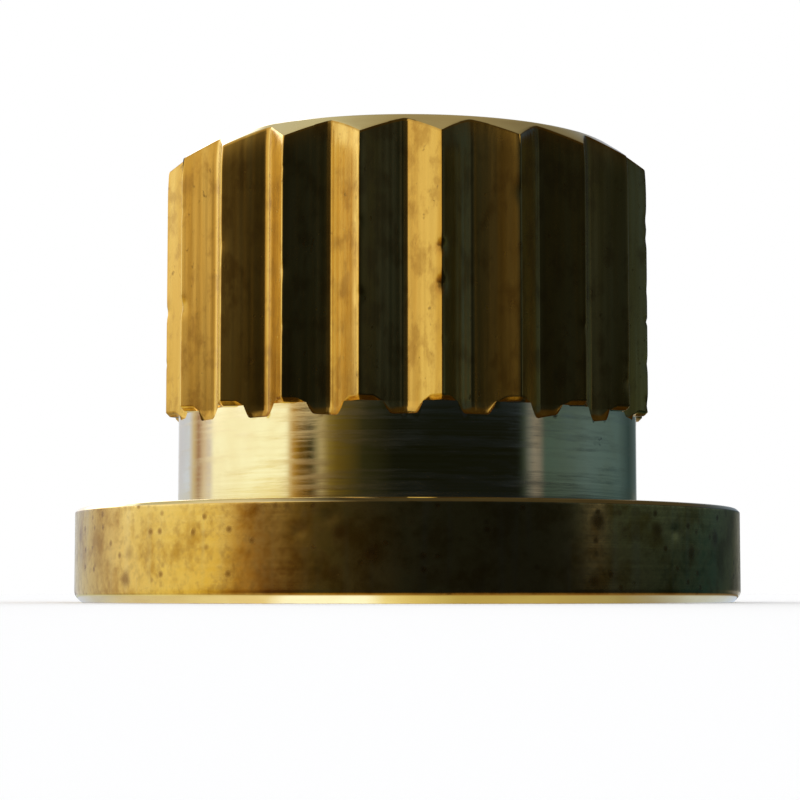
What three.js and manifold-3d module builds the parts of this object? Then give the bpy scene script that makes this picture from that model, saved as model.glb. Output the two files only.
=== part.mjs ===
// A small flanged spur gear in brass: a turned ring with V-cut teeth and a plain neck, a round
// flange disc under the neck, and a sleeve through both whose ends are flared into countersinks.
// Millimetres, +Z up, origin at the centre of the flange's underside, a tooth gap facing -Y.
import * as THREE from "three";
import { mergeVertices } from "three/addons/utils/BufferGeometryUtils.js";
import Module from "manifold-3d";

// Heights above the flange's underside.
const FLANGE_THICKNESS = 2.5;
const SHOULDER_HEIGHT = 4.95;
const CHAMFER_HEIGHT = 11.7;
const TOTAL_HEIGHT = 12.3;

// Radii of the outer surfaces.
const FLANGE_RADIUS = 9.0;
const NECK_RADIUS = 6.25;
const TIP_RADIUS = 6.6;
const ROOT_RADIUS = 5.96;
const END_FACE_RADIUS = 5.68;
const FLANGE_EDGE_BREAK = 0.2;

// The V grooves between the teeth, and how far the cutter runs on into the neck.
const TOOTH_COUNT = 20;
const GROOVE_HALF_ANGLE = THREE.MathUtils.degToRad(60);
const TIP_LAND = 0.08;
const GROOVE_RUN_OUT = 0.35;

// The sleeve, its flared ends and the holes that it fills.
const BORE_RADIUS = 3.0;
const BORE_LEAD_IN = 0.3;
const SLEEVE_RADIUS = 4.0;
const FLARE = 0.6;
const FIT_GAP = 0.02;

// Facets around a full turn. Both counts share their corners with the tooth pitch.
const OUTER_FACETS = 120;
const INNER_FACETS = 40;
const ROOT_ARC_POINTS = 4;

const group = new THREE.Group();
const wasm = await Module();
wasm.setup();

function brass(color, roughness) {
  return new THREE.MeshStandardMaterial({ color, roughness, metalness: 1.0 });
}

function addPiece(name, geometry, material) {
  const mesh = new THREE.Mesh(geometry, material);
  mesh.name = name;
  group.add(mesh);
}

// Turns a closed outline of [radius, height] points about the Z axis.
function turned(outline, facets) {
  const points = outline.map(([radius, height]) => new THREE.Vector2(radius, height));
  points.push(points[0].clone());
  const geometry = new THREE.LatheGeometry(points, facets);
  geometry.rotateX(Math.PI / 2);
  return geometry;
}

function toSolid(geometry) {
  const bare = geometry.clone();
  bare.deleteAttribute("normal");
  bare.deleteAttribute("uv");
  const merged = mergeVertices(bare);
  const mesh = new wasm.Mesh({
    numProp: 3,
    vertProperties: new Float32Array(merged.attributes.position.array),
    triVerts: new Uint32Array(merged.index.array),
  });
  return new wasm.Manifold(mesh);
}

function toGeometry(solid) {
  const mesh = solid.getMesh();
  const geometry = new THREE.BufferGeometry();
  geometry.setAttribute("position", new THREE.BufferAttribute(mesh.vertProperties, 3));
  geometry.setIndex(new THREE.BufferAttribute(mesh.triVerts, 1));
  geometry.computeVertexNormals();
  return geometry;
}

// The section of one groove, pointing along +X: straight walls that open outwards from a round root.
// The walls of neighbouring grooves leave a land of TIP_LAND between them at the tip radius.
function grooveSection() {
  const slope = Math.tan(GROOVE_HALF_ANGLE);
  const halfPitch = Math.PI / TOOTH_COUNT;
  const wallX = TIP_RADIUS * Math.cos(halfPitch);
  const wallY = TIP_RADIUS * Math.sin(halfPitch) - TIP_LAND / 2;
  const apexX = wallX - wallY / slope;
  const rootFillet = (ROOT_RADIUS - apexX) / (1 / Math.sin(GROOVE_HALF_ANGLE) - 1);
  const filletCentre = ROOT_RADIUS + rootFillet;
  const reach = 1.0;
  const farX = wallX + reach;
  const farY = wallY + reach * slope;

  const shape = new THREE.Shape();
  shape.moveTo(farX, -farY);
  shape.lineTo(farX, farY);
  for (let step = 0; step <= ROOT_ARC_POINTS; step += 1) {
    const turn = (0.5 - step / ROOT_ARC_POINTS) * (Math.PI - 2 * GROOVE_HALF_ANGLE);
    shape.lineTo(filletCentre - rootFillet * Math.cos(turn), rootFillet * Math.sin(turn));
  }
  shape.closePath();
  return shape;
}

function grooveCutter(index) {
  const bottom = SHOULDER_HEIGHT - GROOVE_RUN_OUT;
  const depth = TOTAL_HEIGHT + 1 - bottom;
  const geometry = new THREE.ExtrudeGeometry(grooveSection(), { depth, bevelEnabled: false });
  geometry.translate(0, 0, bottom);
  geometry.rotateZ((index / TOOTH_COUNT) * 2 * Math.PI - Math.PI / 2);
  return toSolid(geometry);
}

function toothedRing() {
  const blank = turned([
    [NECK_RADIUS / 2, FLANGE_THICKNESS],
    [NECK_RADIUS, FLANGE_THICKNESS],
    [NECK_RADIUS, SHOULDER_HEIGHT],
    [TIP_RADIUS, SHOULDER_HEIGHT],
    [TIP_RADIUS, CHAMFER_HEIGHT],
    [END_FACE_RADIUS, TOTAL_HEIGHT],
    [NECK_RADIUS / 2, TOTAL_HEIGHT],
  ], OUTER_FACETS);
  const holeRadius = SLEEVE_RADIUS + FIT_GAP;
  const hole = turned([
    [0, FLANGE_THICKNESS - 1],
    [holeRadius, FLANGE_THICKNESS - 1],
    [holeRadius, TOTAL_HEIGHT - FLARE],
    [holeRadius + FLARE, TOTAL_HEIGHT],
    [holeRadius + FLARE, TOTAL_HEIGHT + 1],
    [0, TOTAL_HEIGHT + 1],
  ], INNER_FACETS);

  let solid = toSolid(blank).subtract(toSolid(hole));
  for (let index = 0; index < TOOTH_COUNT; index += 1) {
    solid = solid.subtract(grooveCutter(index));
  }
  return toGeometry(solid);
}

function flangeDisc() {
  const blank = turned([
    [NECK_RADIUS / 2, 0],
    [FLANGE_RADIUS - FLANGE_EDGE_BREAK, 0],
    [FLANGE_RADIUS, FLANGE_EDGE_BREAK],
    [FLANGE_RADIUS, FLANGE_THICKNESS - FLANGE_EDGE_BREAK],
    [FLANGE_RADIUS - FLANGE_EDGE_BREAK, FLANGE_THICKNESS],
    [NECK_RADIUS / 2, FLANGE_THICKNESS],
  ], OUTER_FACETS);
  const holeRadius = SLEEVE_RADIUS + FIT_GAP;
  const hole = turned([
    [0, -1],
    [holeRadius + FLARE, -1],
    [holeRadius + FLARE, 0],
    [holeRadius, FLARE],
    [holeRadius, FLANGE_THICKNESS + 1],
    [0, FLANGE_THICKNESS + 1],
  ], INNER_FACETS);
  return toGeometry(toSolid(blank).subtract(toSolid(hole)));
}

function coreSleeve() {
  return turned([
    [BORE_RADIUS + BORE_LEAD_IN, 0],
    [SLEEVE_RADIUS + FLARE, 0],
    [SLEEVE_RADIUS, FLARE],
    [SLEEVE_RADIUS, TOTAL_HEIGHT - FLARE],
    [SLEEVE_RADIUS + FLARE, TOTAL_HEIGHT],
    [BORE_RADIUS + BORE_LEAD_IN, TOTAL_HEIGHT],
    [BORE_RADIUS, TOTAL_HEIGHT - BORE_LEAD_IN],
    [BORE_RADIUS, BORE_LEAD_IN],
  ], INNER_FACETS);
}

addPiece("toothed_ring", toothedRing(), brass(0xd6aa46, 0.22));
addPiece("flange_disc", flangeDisc(), brass(0xc39a45, 0.36));
addPiece("core_sleeve", coreSleeve(), brass(0xcfa850, 0.3));

export default group;
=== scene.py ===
import math

import bmesh
import bpy
import numpy as np
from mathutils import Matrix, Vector


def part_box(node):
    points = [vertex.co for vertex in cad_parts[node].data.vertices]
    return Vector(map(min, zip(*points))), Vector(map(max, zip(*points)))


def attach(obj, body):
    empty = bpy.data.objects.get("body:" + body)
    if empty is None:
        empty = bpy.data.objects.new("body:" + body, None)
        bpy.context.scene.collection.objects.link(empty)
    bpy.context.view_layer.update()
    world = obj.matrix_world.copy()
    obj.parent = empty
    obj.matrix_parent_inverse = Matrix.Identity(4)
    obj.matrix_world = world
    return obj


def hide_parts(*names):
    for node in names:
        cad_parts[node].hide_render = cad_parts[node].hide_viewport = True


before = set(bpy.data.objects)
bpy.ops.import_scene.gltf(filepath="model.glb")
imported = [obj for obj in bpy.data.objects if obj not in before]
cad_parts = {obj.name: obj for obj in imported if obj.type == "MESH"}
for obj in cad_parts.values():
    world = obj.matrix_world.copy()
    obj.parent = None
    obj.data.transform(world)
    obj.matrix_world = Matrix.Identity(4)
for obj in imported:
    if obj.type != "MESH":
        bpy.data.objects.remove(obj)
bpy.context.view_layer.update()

# ---- Sizes, in metres. The frame's boxes give the outer ones. ----

MM = 0.001
RING_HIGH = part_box("toothed_ring")[1]
FLANGE_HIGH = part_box("flange_disc")[1]
SLEEVE_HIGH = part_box("core_sleeve")[1]

TOTAL_HEIGHT = RING_HIGH.z
FLANGE_THICKNESS = FLANGE_HIGH.z
FLANGE_RADIUS = FLANGE_HIGH.x
FLARE_RADIUS = SLEEVE_HIGH.x

TEETH = 20
HALF_PITCH = math.pi / TEETH
TIP_RADIUS = 6.6 * MM
TIP_ROUNDING = 0.05 * MM
ROOT_ROUNDING = 0.2 * MM
WALL_HOLLOW = 0.02 * MM
GROOVE_HALF_ANGLE = math.radians(60)
NECK_RADIUS = 6.25 * MM
SHOULDER_HEIGHT = 5.0 * MM
SHOULDER_BREAK = 0.12 * MM
CHAMFER_HEIGHT = 11.7 * MM
END_FACE_RADIUS = 5.68 * MM
CHAMFER_SLOPE = (TOTAL_HEIGHT - CHAMFER_HEIGHT) / (TIP_RADIUS - END_FACE_RADIUS)
ROLL_OVER = 0.04 * MM
ROLL_OVER_LENGTH = 0.7 * MM
RUN_OUT = 0.33 * MM

LOWER_BREAK = 0.2 * MM
UPPER_BREAK = 0.1 * MM
FLARE = 0.6 * MM
FIT_GAP = 0.02 * MM
BORE_RADIUS = 3.0 * MM
BORE_LEAD_IN = 0.3 * MM
SLEEVE_RADIUS = FLARE_RADIUS - FLARE
HOLE_RADIUS = SLEEVE_RADIUS + FIT_GAP

SOFT_EDGE = 0.03 * MM
SOFT_CHAMFER = 0.06 * MM
SOFT_FLARE = 0.05 * MM
SOFT_BORE = 0.08 * MM

SHARP_ANGLE = math.radians(28)
WELD = 1e-5 * MM
SEED = 20

# ---- Mesh building ----


def ring_mesh(name, angles, rows):
    """A closed ring from rows of (radius, height, material index), the last row meeting the first.

    A radius or height is one number, or one number for each angle. Angles run from -Y towards +X.
    """
    count = len(angles)
    radii = np.array([np.broadcast_to(row[0], count) for row in rows])
    heights = np.array([np.broadcast_to(row[1], count) for row in rows])
    points = np.stack([radii * np.sin(angles), -radii * np.cos(angles), heights], axis=-1)

    row_starts = np.arange(len(rows))[:, None] * count
    next_starts = np.roll(row_starts, -1, axis=0)
    columns = np.arange(count)[None, :]
    next_columns = np.roll(columns, -1, axis=1)
    corners = [row_starts + columns, row_starts + next_columns,
               next_starts + next_columns, next_starts + columns]
    faces = np.stack(corners, axis=-1).reshape(-1, 4)

    mesh = bpy.data.meshes.new(name)
    mesh.from_pydata(points.reshape(-1, 3).tolist(), [], faces.tolist())
    zones = np.repeat([row[2] for row in rows], count).astype(np.int32)
    mesh.polygons.foreach_set("material_index", zones)

    work = bmesh.new()
    work.from_mesh(mesh)
    bmesh.ops.remove_doubles(work, verts=work.verts, dist=WELD)
    bmesh.ops.recalc_face_normals(work, faces=work.faces)
    work.to_mesh(mesh)
    work.free()
    mesh.shade_smooth()
    mesh.set_sharp_from_angle(angle=SHARP_ANGLE)
    return mesh


def add_piece(name, mesh, node, materials):
    piece = bpy.data.objects.new(name, mesh)
    bpy.context.scene.collection.objects.link(piece)
    for material in materials:
        mesh.materials.append(material)
    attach(piece, "root")
    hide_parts(node)


def soft_corner(before, corner, after, size, steps):
    """Points that round the corner between two straight stretches of an outline."""
    before, corner, after = (np.array(point, float) for point in (before, corner, after))
    start = corner + (before - corner) / np.linalg.norm(before - corner) * size
    end = corner + (after - corner) / np.linalg.norm(after - corner) * size
    points = []
    for step in range(steps + 1):
        t = step / steps
        points.append((1 - t) ** 2 * start + 2 * t * (1 - t) * corner + t ** 2 * end)
    return points


def soft_corners(corners, steps):
    """For each (radius, height, rounding) corner of a closed outline, the points that round it."""
    rounded = []
    for index, (radius, height, size) in enumerate(corners):
        before = corners[index - 1][:2]
        after = corners[(index + 1) % len(corners)][:2]
        rounded.append(soft_corner(before, (radius, height), after, size, steps))
    return rounded


def between(first, last, steps):
    """Evenly spaced values after first, ending at last."""
    return [first + (last - first) * step / steps for step in range(1, steps + 1)]


def turn_from(angle, angles):
    """The turn from one angle to each of the others, between -pi and pi."""
    return np.angle(np.exp(1j * (angles - angle)))


def smooth_noise(random, angles, waves, lowest):
    """A sum of waves round the ring, between -1 and 1. The longest repeats lowest times in a turn."""
    total = np.zeros_like(angles)
    for wave in range(lowest, lowest + waves):
        total += random.normal() * np.cos(wave * angles) + random.normal() * np.sin(wave * angles)
    return total / np.abs(total).max()


# ---- The toothed ring ----

# The ring's materials, by index.
CUT, TURNED = 0, 1

# WALL_TO_TIP is the angle between a wall and the middle line of its tooth. SHARP_TIP and GROOVE_APEX
# are the radii where the walls of a tooth and of a groove would meet without their roundings.
WALL_TO_TIP = GROOVE_HALF_ANGLE - HALF_PITCH
TIP_CENTRE = TIP_RADIUS - TIP_ROUNDING
SHARP_TIP = TIP_CENTRE + TIP_ROUNDING / math.sin(WALL_TO_TIP)
GROOVE_APEX = SHARP_TIP * math.sin(WALL_TO_TIP) / math.sin(GROOVE_HALF_ANGLE)
ROOT_CENTRE = GROOVE_APEX + ROOT_ROUNDING / math.sin(GROOVE_HALF_ANGLE)

# Angles from a groove's middle at which its root rounding ends, its wall comes out through the neck's
# surface and the tip rounding starts.
ROOT_EDGE = math.atan2(ROOT_ROUNDING * math.cos(GROOVE_HALF_ANGLE),
                       ROOT_CENTRE - ROOT_ROUNDING * math.sin(GROOVE_HALF_ANGLE))
NECK_CROSSING = GROOVE_HALF_ANGLE - math.asin(GROOVE_APEX * math.sin(GROOVE_HALF_ANGLE) / NECK_RADIUS)
TIP_EDGE = HALF_PITCH - math.atan2(TIP_ROUNDING * math.cos(WALL_TO_TIP),
                                   TIP_CENTRE + TIP_ROUNDING * math.sin(WALL_TO_TIP))

# Mesh columns over half a groove: its root, its wall below and above the neck's surface, and its tip.
COLUMN_STEPS = ((ROOT_EDGE, 6), (NECK_CROSSING, 7), (TIP_EDGE, 8), (HALF_PITCH, 4))
# Mesh rows down a flank, as shares of its height. They are closest together where the flank leans in.
FLANK_ROWS = [0, 0.002] + between(0.002, 0.12, 8) + between(0.12, 0.995, 50) + [0.9995]

# The foot of a run-out is this share as wide as its top.
FOOT_WIDTH = 0.60

# How uneven the cutting is. The spreads are standard deviations, and the shares are of the usual size.
ROOT_SHIFT_SPREAD = math.radians(0.3)
DEPTH_SPREAD = 0.012 * MM
LEAN_SHARES = (0.4, 1.3)
RUN_OUT_SPREAD = 0.08
RUN_OUT_SHARES = (0.8, 1.2)
SKEW_SPREAD = 0.15

# Faint lengthwise ridges on the walls, and scraps of a fine lip at the foot of the run-outs. Each has
# a number of waves, and how often the longest one repeats in a turn.
RIDGE_HEIGHT = 0.010 * MM
RIDGE_WAVES = (60, 200)
LIP_HEIGHT = 0.006 * MM
LIP_LENGTH = 0.06 * MM
LIP_WAVES = (80, 60)

# How grooves differ from the plain one: groove number, counting from -Y towards +X, then the root's
# shift to the right in degrees, the hollow of its walls and the length of its run-out, as shares.
GROOVE_DIFFERENCES = [
    (0, 0.9, 1.0, 1.0),
    (1, -1.0, 1.6, 1.0),
    (2, -0.5, 1.0, 1.0),
    (4, 0.0, 1.0, 0.4),
    (16, 0.0, 1.0, 0.4),
    (17, -1.2, -0.3, 0.85),
    (18, 0.6, -0.5, 1.0),
    (19, 0.4, 1.0, 1.0),
]

# Wear on the tooth tips: (tooth, height, half height, depth), counting teeth from -Y towards +X.
NICKS = [
    (0, 8.85 * MM, 0.14 * MM, 0.07 * MM),
    (0, 7.85 * MM, 0.20 * MM, 0.06 * MM),
]
NICK_HALF_WIDTH = 0.10 * MM
LOOSE_NICKS = 34
LOOSE_NICK_HALF_HEIGHTS = (0.06 * MM, 0.25 * MM)
LOOSE_NICK_DEPTHS = (0.01 * MM, 0.035 * MM)


def groove_radius(offset, hollow):
    """Radius of the tooth surface at an angle from the middle of its groove."""
    offset = np.abs(offset)
    from_tip = HALF_PITCH - offset
    along = np.clip((offset - ROOT_EDGE) / (TIP_EDGE - ROOT_EDGE), 0, 1)
    wall = GROOVE_APEX * math.sin(GROOVE_HALF_ANGLE) / np.sin(GROOVE_HALF_ANGLE - offset)
    wall = wall - hollow * 4 * along * (1 - along)
    root_reach = np.maximum(ROOT_ROUNDING ** 2 - (ROOT_CENTRE * np.sin(offset)) ** 2, 0)
    root = ROOT_CENTRE * np.cos(offset) - np.sqrt(root_reach)
    tip_reach = np.maximum(TIP_ROUNDING ** 2 - (TIP_CENTRE * np.sin(from_tip)) ** 2, 0)
    tip = TIP_CENTRE * np.cos(from_tip) + np.sqrt(tip_reach)
    return np.where(offset < ROOT_EDGE, root, np.where(offset > TIP_EDGE, tip, wall))


def tooth_columns():
    """Angles round the ring, each one's offset from the middle of its groove, and its groove."""
    half = [0.0]
    for edge, steps in COLUMN_STEPS:
        half += between(half[-1], edge, steps)
    offsets = np.array([-angle for angle in half[:0:-1]] + half[:-1])
    angles = np.concatenate([groove * 2 * HALF_PITCH + offsets for groove in range(TEETH)])
    grooves = np.repeat(np.arange(TEETH), len(offsets))
    return angles, np.tile(offsets, TEETH), grooves


def uneven_teeth(random):
    """Each column's angle, offset, groove and flank radius, and each groove's share of RUN_OUT."""
    angles, offsets, grooves = tooth_columns()
    inward = 1 - np.abs(offsets) / HALF_PITCH
    root_shifts = random.normal(0, ROOT_SHIFT_SPREAD, TEETH)
    hollows = np.ones(TEETH)
    run_outs = np.clip(random.normal(1, RUN_OUT_SPREAD, TEETH), *RUN_OUT_SHARES)
    for groove, shift, hollow, run_out in GROOVE_DIFFERENCES:
        root_shifts[groove] = math.radians(shift)
        hollows[groove] = hollow
        run_outs[groove] = run_out
    outer = groove_radius(offsets, WALL_HOLLOW * hollows[grooves])
    angles = angles + root_shifts[grooves] * inward

    # The grooves aren't all cut to the same depth, and the walls carry faint lengthwise ridges.
    depth_error = random.normal(0, DEPTH_SPREAD, TEETH)[grooves]
    ridges = smooth_noise(random, angles, *RIDGE_WAVES) * RIDGE_HEIGHT
    outer = outer + inward * (depth_error + ridges)
    return angles, offsets, grooves, outer, run_outs


def chamfer_height(radius):
    return TOTAL_HEIGHT - (radius - END_FACE_RADIUS) * CHAMFER_SLOPE


def shoulder_break(outer):
    """Size of the shoulder's broken edge. It fades out where the flank comes near the neck's radius."""
    return np.clip(outer - NECK_RADIUS, 0, SHOULDER_BREAK)


def end_rows(top_outer):
    """The top face from the countersink out, and the chamfer down to its crossing with the flanks."""
    countersink = HOLE_RADIUS + FLARE
    rows = [(radius, TOTAL_HEIGHT, TURNED)
            for radius in np.linspace(countersink, END_FACE_RADIUS - SOFT_EDGE, 6)]
    rows.append((END_FACE_RADIUS, TOTAL_HEIGHT - 0.2 * SOFT_EDGE, TURNED))
    for t in np.linspace(0.06, 0.90, 7):
        radius = END_FACE_RADIUS + (top_outer - END_FACE_RADIUS) * t
        rows.append((radius, chamfer_height(radius), TURNED))
    crossing = chamfer_height(top_outer)
    rows.append((top_outer - 0.3 * SOFT_CHAMFER, crossing + 0.12 * SOFT_CHAMFER, CUT))
    rows.append((top_outer - 0.1 * SOFT_CHAMFER, crossing - 0.3 * SOFT_CHAMFER, CUT))
    return rows


def tip_wear(random, angles, heights):
    """How far each point of the flanks is worn back, for a grid of heights by angles."""
    nicks = list(NICKS)
    for _ in range(LOOSE_NICKS):
        nicks.append((random.integers(TEETH), random.uniform(SHOULDER_HEIGHT, CHAMFER_HEIGHT),
                      random.uniform(*LOOSE_NICK_HALF_HEIGHTS), random.uniform(*LOOSE_NICK_DEPTHS)))
    wear = np.zeros((len(heights), len(angles)))
    for tooth, height, half_height, depth in nicks:
        tip = (2 * tooth + 1) * HALF_PITCH
        across = turn_from(tip, angles) * TIP_RADIUS / NICK_HALF_WIDTH
        along = (np.array(heights)[:, None] - height) / half_height
        wear += depth * np.exp(-across[None, :] ** 2 - along ** 2)
    return wear


def flank_rows(random, angles, outer, lean):
    """The flanks, which lean in near the top, down to the broken edge of the shoulder."""
    top = chamfer_height(outer - lean) - SOFT_CHAMFER
    edge = shoulder_break(outer)
    bottom = SHOULDER_HEIGHT + edge
    mean_heights = [top.mean() + (SHOULDER_HEIGHT - top.mean()) * t for t in FLANK_ROWS]
    rows = []
    for t, loss in zip(FLANK_ROWS, tip_wear(random, angles, mean_heights)):
        height = top + (bottom - top) * t
        rise = np.clip(1 - (top - height) / ROLL_OVER_LENGTH, 0, 1)
        rows.append((outer - lean * rise ** 2 - loss, height, CUT))
    rows.append((outer - 0.08 * edge, SHOULDER_HEIGHT + 0.84 * edge, CUT))
    rows.append((outer - 0.84 * edge, SHOULDER_HEIGHT + 0.08 * edge, CUT))
    return rows


def shoulder_rows(outer):
    """The shoulder, in to the neck. Over a groove it has no width."""
    edge = outer - shoulder_break(outer)
    rows = []
    for t in (0.0, 0.5, 0.9):
        radius = np.where(outer > NECK_RADIUS, edge + (NECK_RADIUS - edge) * t, outer)
        rows.append((radius, SHOULDER_HEIGHT, TURNED))
    return rows


def run_out_ends(random, offsets, grooves, outer, run_outs):
    """Heights where the run-outs end. Each has a foot narrower than its top, and ends its own way."""
    reach = np.clip(np.abs(offsets) / NECK_CROSSING, 0, 1)
    length = RUN_OUT * run_outs[grooves]
    skew = random.normal(0, SKEW_SPREAD, TEETH)[grooves] * np.sign(offsets) * reach
    foot = np.clip((1 - reach) / (1 - FOOT_WIDTH), 0, 1)
    ends = SHOULDER_HEIGHT - length * (1 - (1 - foot) ** 1.4) * (1 + skew)
    return np.where(outer < NECK_RADIUS, ends, SHOULDER_HEIGHT)


def run_out_rows(outer, ends):
    """The cutter's run-out into the neck: deep at first, then steeply up to the neck's surface."""
    cut_here = np.minimum(outer, NECK_RADIUS)
    rows = []
    for t in (0.0, 0.35, 0.6, 0.8, 0.92, 0.98):
        rise = 1 - (1 - t ** 3) ** (1 / 3)
        rows.append((cut_here + (NECK_RADIUS - cut_here) * rise,
                     SHOULDER_HEIGHT + (ends - SHOULDER_HEIGHT) * t, CUT))
    return rows


def neck_rows(random, angles, outer, ends):
    """The neck down to the flange, with scraps of a fine lip at the foot of the run-outs."""
    scraps = np.clip(smooth_noise(random, angles, *LIP_WAVES) * 2 - 0.3, 0, 1)
    lip = np.where(outer < NECK_RADIUS, LIP_HEIGHT, 0.0) * scraps
    rows = [
        (NECK_RADIUS + lip, ends, TURNED),
        (NECK_RADIUS + 0.6 * lip, ends - 0.5 * LIP_LENGTH, TURNED),
    ]
    start = ends - LIP_LENGTH
    foot = FLANGE_THICKNESS + SOFT_EDGE
    for t in [0] + between(0, 0.98, 17) + [1]:
        rows.append((NECK_RADIUS, start + (foot - start) * t, TURNED))
    rows.append((NECK_RADIUS - 0.3 * SOFT_EDGE, FLANGE_THICKNESS + 0.3 * SOFT_EDGE, TURNED))
    return rows


def inner_rows():
    """The underside on the flange, then the hole up to its countersink."""
    rows = [(NECK_RADIUS - SOFT_EDGE, FLANGE_THICKNESS, TURNED)]
    rows += [(HOLE_RADIUS, height, TURNED)
             for height in np.linspace(FLANGE_THICKNESS, TOTAL_HEIGHT - FLARE, 4)]
    return rows


def toothed_ring():
    random = np.random.default_rng(SEED)
    angles, offsets, grooves, outer, run_outs = uneven_teeth(random)
    lean = ROLL_OVER * random.uniform(*LEAN_SHARES, TEETH)[grooves]
    rows = end_rows(outer - lean)
    rows += flank_rows(random, angles, outer, lean)
    rows += shoulder_rows(outer)
    ends = run_out_ends(random, offsets, grooves, outer, run_outs)
    rows += run_out_rows(outer, ends)
    rows += neck_rows(random, angles, outer, ends)
    rows += inner_rows()
    return ring_mesh("toothed_ring_brass", angles, rows)


# ---- The flange disc and the sleeve ----

# The flange's materials, by index.
DULL, CLEAN = 0, 1

ROUND_COLUMNS = 480
FLANGE_CORNER_STEPS = 6
SLEEVE_CORNER_STEPS = 3

DENTS = 40
DENT_SIZES = (0.08 * MM, 0.30 * MM)
DENT_DEPTHS = (0.002 * MM, 0.010 * MM)
DENTED_WIDTH = 0.3 * MM


def even_angles():
    return np.linspace(0, 2 * math.pi, ROUND_COLUMNS, endpoint=False)


def flange_outline():
    """Points of (radius, height, material) round the flange's section."""
    # Each stretch: its start's radius, height and rounding, then its material and steps.
    stretches = [
        (HOLE_RADIUS + FLARE, 0, SOFT_EDGE, DULL, 6),
        (FLANGE_RADIUS - LOWER_BREAK, 0, 0.05 * MM, CLEAN, 2),
        (FLANGE_RADIUS, LOWER_BREAK, 0.12 * MM, DULL, 24),
        (FLANGE_RADIUS, FLANGE_THICKNESS - UPPER_BREAK, 0.02 * MM, CLEAN, 2),
        (FLANGE_RADIUS - UPPER_BREAK, FLANGE_THICKNESS, 0.065 * MM, DULL, 6),
        (HOLE_RADIUS, FLANGE_THICKNESS, SOFT_EDGE, CLEAN, 3),
        (HOLE_RADIUS, FLARE, SOFT_EDGE, CLEAN, 2),
    ]
    rounded = soft_corners([stretch[:3] for stretch in stretches], FLANGE_CORNER_STEPS)
    half = FLANGE_CORNER_STEPS // 2
    points = []
    for index, (_, _, _, material, steps) in enumerate(stretches):
        material_before = stretches[index - 1][3]
        points += [(*point, material_before) for point in rounded[index][:half]]
        points += [(*point, material) for point in rounded[index][half:]]
        start = rounded[index][-1]
        end = rounded[(index + 1) % len(stretches)][0]
        shares = [0.02] + between(0.02, 0.98, steps)
        points += [(*(start + (end - start) * t), material) for t in shares]
    return points


def rim_dents(random):
    """Shallow round dents: (angle, height, size, depth)."""
    dents = []
    for _ in range(DENTS):
        dents.append((random.uniform(0, 2 * math.pi), random.uniform(0, FLANGE_THICKNESS),
                      random.uniform(*DENT_SIZES), random.uniform(*DENT_DEPTHS)))
    return dents


def flange_disc():
    dents = rim_dents(np.random.default_rng(SEED + 1))
    angles = even_angles()
    rows = []
    for radius, height, material in flange_outline():
        rim = np.clip((radius - (FLANGE_RADIUS - DENTED_WIDTH)) / DENTED_WIDTH, 0, 1)
        sunk = np.zeros_like(angles)
        for angle, dent_height, size, depth in dents:
            along = turn_from(angle, angles) * FLANGE_RADIUS
            sunk += depth * np.exp(-(along ** 2 + (height - dent_height) ** 2) / size ** 2)
        rows.append((radius - rim * sunk, height, material))
    return ring_mesh("flange_disc_brass", angles, rows)


def core_sleeve():
    corners = [
        (BORE_RADIUS + BORE_LEAD_IN, 0, SOFT_FLARE),
        (FLARE_RADIUS, 0, SOFT_FLARE),
        (SLEEVE_RADIUS, FLARE, SOFT_FLARE),
        (SLEEVE_RADIUS, TOTAL_HEIGHT - FLARE, SOFT_FLARE),
        (FLARE_RADIUS, TOTAL_HEIGHT, SOFT_FLARE),
        (BORE_RADIUS + BORE_LEAD_IN, TOTAL_HEIGHT, SOFT_FLARE),
        (BORE_RADIUS, TOTAL_HEIGHT - BORE_LEAD_IN, SOFT_BORE),
        (BORE_RADIUS, BORE_LEAD_IN, SOFT_BORE),
    ]
    rows = []
    for points in soft_corners(corners, SLEEVE_CORNER_STEPS):
        rows += [(radius, height, 0) for radius, height in points]
    return ring_mesh("core_sleeve_brass", even_angles(), rows)


# ---- Brass materials ----

TURNED_GOLD = (0.90, 0.70, 0.34, 1)
TURNED_PALE = (0.95, 0.78, 0.41, 1)
TURNED_STREAK = (0.62, 0.40, 0.15, 1)
CUT_BROWN = (0.62, 0.34, 0.055, 1)
CUT_GOLD = (0.75, 0.46, 0.10, 1)
CUT_MOTTLE = (0.46, 0.24, 0.045, 1)
CUT_PIT = (0.20, 0.10, 0.03, 1)
RIM_GOLD = (0.84, 0.55, 0.15, 1)
RIM_BROWN = (0.54, 0.29, 0.05, 1)
RIM_TARNISH = (0.38, 0.20, 0.04, 1)
RIM_STREAK = (0.74, 0.56, 0.26, 1)
RIM_SPOT = (0.24, 0.10, 0.015, 1)
SLEEVE_GOLD = (0.84, 0.60, 0.25, 1)
SLEEVE_BROWN = (0.66, 0.43, 0.14, 1)


def empty_tree(owner):
    """The node tree of a material or of the world, with nothing in it."""
    owner.use_nodes = True
    owner.node_tree.nodes.clear()
    return owner.node_tree


def shader_node(tree, kind, inputs=None, **settings):
    """Adds a node. An input is a number or colour, or the output socket of another node."""
    made = tree.nodes.new(kind)
    for key, value in settings.items():
        setattr(made, key, value)
    for key, value in (inputs or {}).items():
        if isinstance(value, bpy.types.NodeSocket):
            tree.links.new(value, made.inputs[key])
        else:
            made.inputs[key].default_value = value
    return made


def math_node(tree, operation, *values):
    made = shader_node(tree, "ShaderNodeMath", dict(enumerate(values)), operation=operation)
    return made.outputs[0]


def vector_node(tree, operation, *values):
    return shader_node(tree, "ShaderNodeVectorMath", dict(enumerate(values)), operation=operation)


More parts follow.
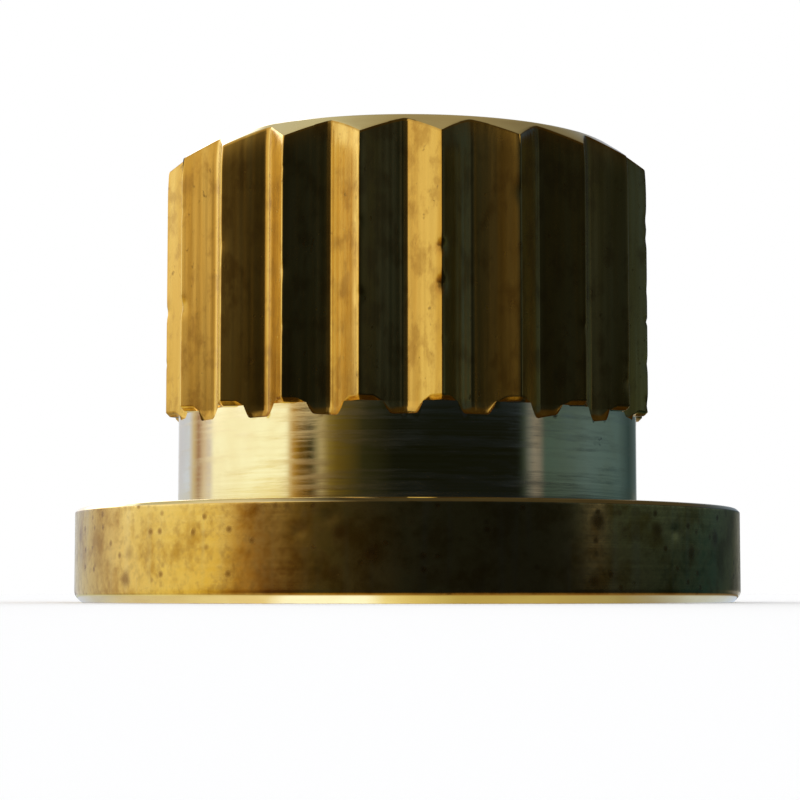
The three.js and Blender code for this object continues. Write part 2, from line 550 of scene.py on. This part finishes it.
def spread(tree, value, low, high, to_low=0.0, to_high=1.0):
    """Maps low..high to to_low..to_high, clamped and eased."""
    made = shader_node(tree, "ShaderNodeMapRange", {
        "Value": value, "From Min": low, "From Max": high, "To Min": to_low, "To Max": to_high,
    }, interpolation_type="SMOOTHSTEP")
    return made.outputs["Result"]


def mix_colour(tree, factor, first, second):
    """Mixes two colours. The colour sockets of a Mix node are inputs 6 and 7 and output 2."""
    made = shader_node(tree, "ShaderNodeMix", data_type="RGBA")
    for key, value in ((0, factor), (6, first), (7, second)):
        if isinstance(value, bpy.types.NodeSocket):
            tree.links.new(value, made.inputs[key])
        else:
            made.inputs[key].default_value = value
    return made.outputs[2]


def grain(tree, place, stretch, scale, detail=3.0, roughness=0.55):
    """Noise over the object's own metres, squeezed by stretch = (x, y, z). About 0.5 on average."""
    made = shader_node(tree, "ShaderNodeTexNoise", {
        "Vector": vector_node(tree, "MULTIPLY", place, stretch).outputs[0],
        "Scale": scale, "Detail": detail, "Roughness": roughness,
    })
    return made.outputs["Fac"]


def round_spots(tree, place, scale, chance, size):
    """Soft round spots, 0 to 1. Each cell of 1/scale metres has one by chance, size cells wide."""
    cells = shader_node(tree, "ShaderNodeTexVoronoi", {"Vector": place, "Scale": scale}).outputs
    lot = shader_node(tree, "ShaderNodeSeparateColor", {0: cells["Color"]}).outputs[0]
    chosen = math_node(tree, "LESS_THAN", lot, chance)
    return math_node(tree, "MULTIPLY", chosen, spread(tree, cells["Distance"], 0.2 * size, size, 1, 0))


def ring_lines(tree, place, scale):
    """Fine lines that run round the axis: noise that changes only with radius plus height."""
    x, y, z = shader_node(tree, "ShaderNodeSeparateXYZ", {0: place}).outputs
    squares = (math_node(tree, "MULTIPLY", part, part) for part in (x, y))
    radius = math_node(tree, "SQRT", math_node(tree, "ADD", *squares))
    made = shader_node(tree, "ShaderNodeTexNoise", {
        "W": math_node(tree, "ADD", radius, z), "Scale": scale, "Detail": 4.0,
    }, noise_dimensions="1D")
    return made.outputs["Fac"]


def start_material(name):
    material = bpy.data.materials.new(name)
    tree = empty_tree(material)
    place = shader_node(tree, "ShaderNodeTexCoord").outputs["Object"]
    return material, tree, place


def finish_material(tree, colour, roughness, height, depth):
    """Bumps are given as a height between about 0 and 1, times a depth in metres."""
    bump = shader_node(tree, "ShaderNodeBump", {
        "Height": height, "Distance": depth, "Strength": 1.0,
    })
    surface = shader_node(tree, "ShaderNodeBsdfPrincipled", {
        "Base Color": colour, "Roughness": roughness, "Normal": bump.outputs[0], "Metallic": 1.0,
    })
    shader_node(tree, "ShaderNodeOutputMaterial", {"Surface": surface.outputs[0]})


def turned_brass():
    """Bright lathe finish: fine lines and streaks round the axis, with a few small dull specks."""
    material, tree, place = start_material("turned_brass")
    lines = ring_lines(tree, place, 9000)
    clouds = grain(tree, place, (1, 1, 1), 700)
    streaks = spread(tree, grain(tree, place, (1, 1, 9), 420, 5.0, 0.65), 0.45, 0.70)
    specks = spread(tree, grain(tree, place, (1, 1, 1.6), 1500, 3.0), 0.70, 0.78)
    colour = mix_colour(tree, spread(tree, clouds, 0.35, 0.7), TURNED_GOLD, TURNED_PALE)
    colour = mix_colour(tree, math_node(tree, "MULTIPLY", streaks, 0.10), colour, TURNED_STREAK)
    roughness = math_node(tree, "ADD", spread(tree, lines, 0.3, 0.7, 0.05, 0.09),
                          math_node(tree, "MULTIPLY", streaks, 0.09))
    roughness = math_node(tree, "MULTIPLY_ADD", specks, 0.22, roughness)
    height = math_node(tree, "MULTIPLY_ADD", streaks, 0.6, lines)
    finish_material(tree, colour, roughness, height, 0.0003 * MM)
    return material


def cut_brass():
    """Tooth flanks: lengthwise cutter marks, mottled colour and small dark pits."""
    material, tree, place = start_material("cut_brass")
    marks = grain(tree, place, (1, 1, 0.03), 9000, 4.0, 0.6)
    broad = grain(tree, place, (1, 1, 0.05), 2200, 2.0)
    mottle = grain(tree, place, (1, 1, 0.6), 2000, 5.0, 0.6)
    pits = spread(tree, grain(tree, place, (1, 1, 0.7), 6000, 2.0), 0.66, 0.78)
    colour = mix_colour(tree, spread(tree, broad, 0.35, 0.65), CUT_BROWN, CUT_GOLD)
    colour = mix_colour(tree, spread(tree, mottle, 0.46, 0.66, 0.0, 0.75), colour, CUT_MOTTLE)
    colour = mix_colour(tree, math_node(tree, "MULTIPLY", pits, 0.5), colour, CUT_PIT)
    roughness = math_node(tree, "ADD", spread(tree, marks, 0.3, 0.7, 0.15, 0.25),
                          math_node(tree, "MULTIPLY", pits, 0.12))
    height = math_node(tree, "ADD", marks, math_node(tree, "MULTIPLY", broad, 0.8))
    height = math_node(tree, "SUBTRACT", height, math_node(tree, "MULTIPLY", pits, 0.4))
    finish_material(tree, colour, roughness, height, 0.0012 * MM)
    return material


def rim_brass():
    """The flange: dull turned brass with clouds of tarnish, soft dark spots and faint upright streaks."""
    material, tree, place = start_material("rim_brass")
    lines = ring_lines(tree, place, 5000)
    clouds = grain(tree, place, (1, 1, 1), 1100, 4.0, 0.6)
    fine = grain(tree, place, (1, 1, 1), 4200, 4.0)
    streaks = grain(tree, place, (1, 1, 0.06), 2800, 3.0)
    spots = math_node(tree, "MAXIMUM", round_spots(tree, place, 1150, 0.50, 0.36),
                      round_spots(tree, place, 3400, 0.20, 0.42))
    colour = mix_colour(tree, spread(tree, clouds, 0.42, 0.68), RIM_GOLD, RIM_BROWN)
    colour = mix_colour(tree, spread(tree, fine, 0.45, 0.75, 0.0, 0.45), colour, RIM_TARNISH)
    colour = mix_colour(tree, spread(tree, streaks, 0.5, 0.75, 0.0, 0.35), colour, RIM_STREAK)
    colour = mix_colour(tree, math_node(tree, "MULTIPLY", spots, 0.75), colour, RIM_SPOT)
    roughness = math_node(tree, "ADD", spread(tree, fine, 0.3, 0.7, 0.13, 0.21),
                          math_node(tree, "MULTIPLY", spots, 0.12))
    height = math_node(tree, "MULTIPLY_ADD", fine, 0.9, lines)
    finish_material(tree, colour, roughness, height, 0.0010 * MM)
    return material


def sleeve_brass():
    """The sleeve: a plain turned finish with clouds of brown and fine rings round the axis."""
    material, tree, place = start_material("sleeve_brass")
    lines = ring_lines(tree, place, 6000)
    clouds = grain(tree, place, (1, 1, 1), 1200, 3.0)
    colour = mix_colour(tree, spread(tree, clouds, 0.3, 0.75), SLEEVE_GOLD, SLEEVE_BROWN)
    roughness = spread(tree, lines, 0.3, 0.7, 0.18, 0.32)
    finish_material(tree, colour, roughness, lines, 0.003 * MM)
    return material


# ---- Studio ----

# What the brass reflects, as three bands one above the other. Each is a list of (bearing in degrees,
# colour). Bearing 0 is towards the camera and positive bearings are to its right. The flange reflects
# RIM_BAND, up to 2.4 degrees above the table and across it, the neck NECK_BAND, up to 5 degrees, and
# the teeth TEETH_BAND.
RIM_BAND = [
    (-180, (0.70, 0.74, 0.80)),
    (-150, (0.60, 0.65, 0.66)),
    (-128, (0.60, 0.61, 0.60)),
    (-110, (0.84, 0.86, 0.81)),
    (-97, (0.82, 0.81, 0.57)),
    (-86, (0.87, 0.86, 0.52)),
    (-66, (0.80, 0.71, 0.22)),
    (-54, (0.37, 0.23, 0.065)),
    (-42, (0.092, 0.044, 0.018)),
    (-28, (0.039, 0.040, 0.028)),
    (-14, (0.036, 0.036, 0.036)),
    (0, (0.012, 0.016, 0.024)),
    (48, (0.008, 0.011, 0.018)),
    (62, (0.012, 0.016, 0.026)),
    (80, (0.014, 0.019, 0.029)),
    (100, (0.008, 0.017, 0.028)),
    (126, (0.012, 0.038, 0.070)),
    (150, (0.040, 0.060, 0.060)),
    (172, (0.30, 0.33, 0.34)),
]
NECK_BAND = [
    (-180, (1.00, 1.00, 1.00)),
    (-158, (0.58, 0.62, 0.75)),
    (-138, (0.62, 0.76, 1.20)),
    (-131, (0.60, 0.54, 0.42)),
    (-125, (0.34, 0.22, 0.18)),
    (-119, (0.66, 0.60, 0.60)),
    (-113, (0.68, 0.72, 1.00)),
    (-109, (1.03, 1.16, 1.26)),
    (-60, (1.03, 1.16, 1.22)),
    (-56, (0.42, 0.26, 0.05)),
    (-52, (0.14, 0.08, 0.012)),
    (-46, (0.020, 0.024, 0.014)),
    (-41, (0.42, 0.39, 0.28)),
    (-37, (0.22, 0.18, 0.05)),
    (-33, (0.13, 0.10, 0.02)),
    (-20, (0.025, 0.028, 0.012)),
    (-5, (0.006, 0.008, 0.004)),
    (57, (0.006, 0.008, 0.005)),
    (60, (0.03, 0.05, 0.05)),
    (63, (0.14, 0.17, 0.23)),
    (66, (0.23, 0.24, 0.30)),
    (69, (0.18, 0.19, 0.24)),
    (72, (0.06, 0.11, 0.14)),
    (100, (0.085, 0.15, 0.23)),
    (130, (0.070, 0.13, 0.19)),
    (146, (0.03, 0.06, 0.08)),
    (164, (0.08, 0.12, 0.14)),
    (176, (0.70, 0.74, 0.78)),
]
TEETH_BAND = [
    (-180, (1.00, 1.00, 1.00)),
    (-125, (1.10, 1.18, 1.35)),
    (-108, (1.55, 1.75, 2.20)),
    (-96, (1.15, 1.22, 1.35)),
    (-86, (1.30, 1.52, 2.20)),
    (-76, (1.05, 1.08, 0.98)),
    (-66, (1.00, 1.01, 0.92)),
    (-54, (0.96, 0.91, 0.80)),
    (-46, (0.88, 0.82, 0.70)),
    (-38, (0.26, 0.23, 0.16)),
    (-30, (0.098, 0.090, 0.076)),
    (-20, (0.086, 0.080, 0.074)),
    (-17, (0.042, 0.044, 0.050)),
    (-10, (0.028, 0.036, 0.050)),
    (5, (0.026, 0.040, 0.075)),
    (14, (0.015, 0.024, 0.045)),
    (30, (0.012, 0.019, 0.040)),
    (48, (0.018, 0.031, 0.062)),
    (58, (0.042, 0.066, 0.140)),
    (81, (0.032, 0.054, 0.110)),
    (87, (0.042, 0.086, 0.240)),
    (93, (0.028, 0.048, 0.095)),
    (118, (0.030, 0.052, 0.110)),
    (134, (0.042, 0.078, 0.190)),
    (150, (0.060, 0.090, 0.140)),
    (166, (0.160, 0.210, 0.280)),
    (176, (0.50, 0.52, 0.60)),
]
# Heights, in degrees, over which one band gives way to the next, and the last one to the dome.
NECK_EDGE = (2.0, 2.8)
TEETH_EDGE = (4.6, 5.6)
DOME_EDGE = (16, 34)

# Overhead: bright on the left, dark on the right, and a pale patch behind the gear that is darker on
# its right. The edges are where a direction's x or y passes from one value to the other.
LEFT_DOME = (0.80, 0.78, 0.72, 1)
RIGHT_DOME = (0.055, 0.046, 0.028, 1)
BACK_LEFT_DOME = (0.56, 0.56, 0.44, 1)
BACK_RIGHT_DOME = (0.33, 0.30, 0.20, 1)
DOME_MIDDLE_X = (-0.52, -0.18)
BACK_MIDDLE_X = (-0.22, -0.02)
BACK_RIGHT_X = (0.05, 0.35)
BACK_FRONT_Y = (0.25, 0.5)

# A window behind the gear on the left. Its lower and upper edges are heights in degrees.
WINDOW = (2.6, 2.6, 2.8, 1)
WINDOW_RIGHT_X = (-0.12, -0.07)
WINDOW_FRONT_Y = (0.5, 0.6)
WINDOW_LOWER_EDGE = (12, 18)
WINDOW_UPPER_EDGE = (30, 36)

# Light that has met the brass twice is tinted twice. The studio makes up for it with bluer light.
SECOND_BOUNCE = (1.25, 1.6, 2.1)
WHITE = (1, 1, 1, 1)


def up(degrees):
    """The z of a direction that points this far above the horizon."""
    return math.sin(math.radians(degrees))


def ramp(tree, share, stops):
    """A colour ramp over 0..1 from a list of (position, colour)."""
    made = shader_node(tree, "ShaderNodeValToRGB", {"Fac": share})
    elements = made.color_ramp.elements
    for index, (position, colour) in enumerate(stops):
        stop = elements[index] if index < 2 else elements.new(position)
        stop.position = position
        stop.color = (*colour, 1)
    return made.outputs["Color"]


def bearing_ramp(tree, x, y, stops, times=1.0):
    """A ramp over the bearing of the direction or place (x, y), or over a multiple of it."""
    bearing = math_node(tree, "ARCTAN2", x, math_node(tree, "MULTIPLY", y, -1.0))
    bearing = math_node(tree, "MULTIPLY", bearing, times)
    turn = math_node(tree, "MULTIPLY_ADD", bearing, 1 / (2 * math.pi), 0.5)
    turn = math_node(tree, "FLOORED_MODULO", turn, 1.0)
    return ramp(tree, turn, [(degrees / 360 + 0.5, colour) for degrees, colour in stops])


def bands(tree, x, y, z):
    """The three bands. A direction's x and y give its bearing, and its z its height."""
    colour = bearing_ramp(tree, x, y, RIM_BAND)
    for band, edge in ((NECK_BAND, NECK_EDGE), (TEETH_BAND, TEETH_EDGE)):
        above = bearing_ramp(tree, x, y, band)
        colour = mix_colour(tree, spread(tree, z, *map(up, edge)), colour, above)
    return colour


def dome(tree, x, y):
    """The light overhead, by a direction's x and y."""
    sides = mix_colour(tree, spread(tree, x, *DOME_MIDDLE_X), LEFT_DOME, RIGHT_DOME)
    back = mix_colour(tree, spread(tree, x, *BACK_MIDDLE_X), BACK_LEFT_DOME, BACK_RIGHT_DOME)
    behind = math_node(tree, "MULTIPLY", spread(tree, y, *BACK_FRONT_Y),
                       spread(tree, x, *BACK_RIGHT_X, 1, 0))
    return mix_colour(tree, behind, sides, back)


def window_share(tree, x, y, z):
    """1 in the window, 0 outside it."""
    share = math_node(tree, "MULTIPLY", spread(tree, x, *WINDOW_RIGHT_X, 1, 0),
                      spread(tree, y, *WINDOW_FRONT_Y))
    share = math_node(tree, "MULTIPLY", share, spread(tree, z, *map(up, WINDOW_LOWER_EDGE)))
    return math_node(tree, "MULTIPLY", share, spread(tree, z, *map(up, WINDOW_UPPER_EDGE), 1, 0))


def studio():
    """The camera and dull surfaces see plain white. Only the brass sees the bands and the dome."""
    world = bpy.data.worlds.new("studio")
    bpy.context.scene.world = world
    tree = empty_tree(world)
    direction = shader_node(tree, "ShaderNodeTexCoord").outputs["Generated"]
    x, y, z = shader_node(tree, "ShaderNodeSeparateXYZ", {0: direction}).outputs
    overhead = spread(tree, z, *map(up, DOME_EDGE))
    colour = mix_colour(tree, overhead, bands(tree, x, y, z), dome(tree, x, y))
    colour = mix_colour(tree, window_share(tree, x, y, z), colour, WINDOW)

    path = shader_node(tree, "ShaderNodeLightPath").outputs
    bounced_twice = math_node(tree, "GREATER_THAN", path["Glossy Depth"], 1.5)
    whiter = vector_node(tree, "MULTIPLY", colour, SECOND_BOUNCE).outputs[0]
    colour = mix_colour(tree, bounced_twice, colour, whiter)
    plain = math_node(tree, "MAXIMUM", path["Is Camera Ray"], path["Is Diffuse Ray"])
    colour = mix_colour(tree, plain, colour, WHITE)
    background = shader_node(tree, "ShaderNodeBackground", {"Color": colour, "Strength": 1.0})
    shader_node(tree, "ShaderNodeOutputWorld", {"Surface": background.outputs[0]})


# ---- Floor ----

FLOOR_HALF_WIDTH = 3.0
FLOOR_DROP = 0.004 * MM
FLOOR_PAINT = (0.98, 0.98, 0.98, 1)

# Painted reflections: the glow that the floor gives the brass in place of its white paint, from the axis
# out:
# UNDER_EDGE right under the flange's edge, EDGE_GLOW just past it, and RIM_BAND from there on. The first
# two are lists of (millimetres to the right, colour). Straight behind the gear the painted glow is dark.
UNDER_EDGE_REACH = (FLANGE_RADIUS + 0.03 * MM, FLANGE_RADIUS + 0.20 * MM)
EDGE_GLOW_REACH = (FLANGE_RADIUS + 0.25 * MM, FLANGE_RADIUS + 0.60 * MM)
BEHIND_REACH = (15 * MM, 40 * MM)
BEHIND_HALF_WIDTH = (14 * MM, 20 * MM)
# A painted dark reflection: the floor's glow straight behind the gear.
PAINTED_DARK_BEHIND = (0.08, 0.06, 0.03, 1)
UNDER_EDGE = [
    (-9.0, (0.64, 0.70, 0.84)),
    (-8.5, (0.62, 0.68, 0.80)),
    (-7.8, (0.56, 0.58, 0.62)),
    (-7.0, (0.68, 0.66, 0.56)),
    (-5.0, (0.78, 0.73, 0.50)),
    (-3.2, (0.88, 0.82, 0.60)),
    (-2.7, (1.15, 1.30, 1.50)),
    (-0.8, (1.15, 1.30, 1.50)),
    (-0.3, (0.92, 0.90, 0.60)),
    (0.4, (0.76, 0.70, 0.36)),
    (1.4, (0.54, 0.48, 0.20)),
    (3.6, (0.50, 0.44, 0.20)),
    (5.4, (0.38, 0.36, 0.22)),
    (6.1, (0.37, 0.37, 0.34)),
    (6.7, (0.44, 0.50, 0.60)),
    (7.4, (0.54, 0.64, 0.82)),
    (9.0, (0.58, 0.68, 0.86)),
]
EDGE_GLOW = [
    (-9.0, (0.56, 0.60, 0.52)),
    (-7.6, (0.60, 0.62, 0.46)),
    (-6.0, (0.80, 0.80, 0.48)),
    (-4.4, (0.58, 0.50, 0.26)),
    (-3.6, (0.40, 0.31, 0.15)),
    (-2.4, (0.46, 0.32, 0.08)),
    (-0.8, (0.46, 0.31, 0.07)),
    (0.5, (0.30, 0.20, 0.06)),
    (5.0, (0.24, 0.16, 0.06)),
    (9.0, (0.20, 0.16, 0.10)),
]


def across_flange(tree, x, stops):
    """A ramp over the flange's width from a list of (millimetres to the right, colour)."""
    across = math_node(tree, "MULTIPLY_ADD", x, 1 / (2 * FLANGE_RADIUS), 0.5)
    width = round(2 * FLANGE_RADIUS / MM, 3)
    return ramp(tree, across, [(right / width + 0.5, colour) for right, colour in stops])


def rest_of_floor(tree, x, y, distance):
    """RIM_BAND, and a painted dark reflection behind the gear, in the floor's glow.

    A place close to the rim is mirrored towards twice its bearing, and a far one towards its own.
    """
    twice = math_node(tree, "MULTIPLY", distance, 2)
    turned_on = math_node(tree, "DIVIDE", twice, math_node(tree, "SUBTRACT", twice, FLANGE_RADIUS))
    mirrored = bearing_ramp(tree, x, y, RIM_BAND, turned_on)
    behind = math_node(tree, "MULTIPLY", spread(tree, y, *BEHIND_REACH),
                       spread(tree, math_node(tree, "ABSOLUTE", x), *BEHIND_HALF_WIDTH, 1, 0))
    return mix_colour(tree, behind, mirrored, PAINTED_DARK_BEHIND)


def mix_shaders(tree, factor, first, second):
    return shader_node(tree, "ShaderNodeMixShader", {0: factor, 1: first.outputs[0], 2: second.outputs[0]})


def floor_material():
    """White paint. The brass sees a glow in place of it, a painted reflection, and from below the floor is
    clear.
    """
    material, tree, place = start_material("pale_floor")
    x, y, _ = shader_node(tree, "ShaderNodeSeparateXYZ", {0: place}).outputs
    distance = vector_node(tree, "LENGTH", place).outputs["Value"]
    painted_reflection = mix_colour(tree, spread(tree, distance, *UNDER_EDGE_REACH),
                      across_flange(tree, x, UNDER_EDGE), across_flange(tree, x, EDGE_GLOW))
    painted_reflection = mix_colour(tree, spread(tree, distance, *EDGE_GLOW_REACH), painted_reflection,
                      rest_of_floor(tree, x, y, distance))
    # The floor's glow, seen only by the brass: painted reflections, dark straight behind the gear.
    glow = shader_node(tree, "ShaderNodeEmission", {"Color": painted_reflection, "Strength": 1.0})
    paint = shader_node(tree, "ShaderNodeBsdfDiffuse", {"Color": FLOOR_PAINT})
    clear = shader_node(tree, "ShaderNodeBsdfTransparent")

    seen_by_metal = shader_node(tree, "ShaderNodeLightPath").outputs["Is Glossy Ray"]
    top = mix_shaders(tree, seen_by_metal, paint, glow)
    under = shader_node(tree, "ShaderNodeNewGeometry").outputs["Backfacing"]
    either = mix_shaders(tree, under, top, clear)
    shader_node(tree, "ShaderNodeOutputMaterial", {"Surface": either.outputs[0]})
    return material


def floor():
    low, high = -FLOOR_HALF_WIDTH, FLOOR_HALF_WIDTH
    corners = [(x, y, -FLOOR_DROP) for x, y in ((low, low), (high, low), (high, high), (low, high))]
    mesh = bpy.data.meshes.new("floor")
    mesh.from_pydata(corners, [], [(0, 1, 2, 3)])
    mesh.materials.append(floor_material())
    plane = bpy.data.objects.new("floor", mesh)
    bpy.context.scene.collection.objects.link(plane)


# ---- Camera ----

CAMERA_DISTANCE = 9.29 * TIP_RADIUS
CAMERA_HEIGHT = 0.035 * TIP_RADIUS
CAMERA_BEARING = math.radians(1.4)
CAMERA_PITCH = math.radians(4.95)
CAMERA_YAW = math.radians(0.187)
CAMERA_LENS = 100.7
CAMERA_NEAREST = 0.5 * MM
CAMERA_FARTHEST = 10


def camera():
    data = bpy.data.cameras.new("camera")
    data.lens = CAMERA_LENS
    data.clip_start = CAMERA_NEAREST
    data.clip_end = CAMERA_FARTHEST
    seat = bpy.data.objects.new("camera", data)
    bpy.context.scene.collection.objects.link(seat)
    seat.location = Vector((math.sin(CAMERA_BEARING) * CAMERA_DISTANCE,
                            -math.cos(CAMERA_BEARING) * CAMERA_DISTANCE, CAMERA_HEIGHT))
    seat.rotation_euler = (math.pi / 2 + CAMERA_PITCH, 0, CAMERA_BEARING + CAMERA_YAW)
    bpy.context.scene.camera = seat


# ---- Making ----

camera()
studio()
floor()
bpy.context.scene.view_settings.view_transform = "Standard"

cut, turned = cut_brass(), turned_brass()
add_piece("toothed_ring_brass", toothed_ring(), "toothed_ring", [cut, turned])
add_piece("flange_disc_brass", flange_disc(), "flange_disc", [rim_brass(), turned])
add_piece("core_sleeve_brass", core_sleeve(), "core_sleeve", [sleeve_brass()])
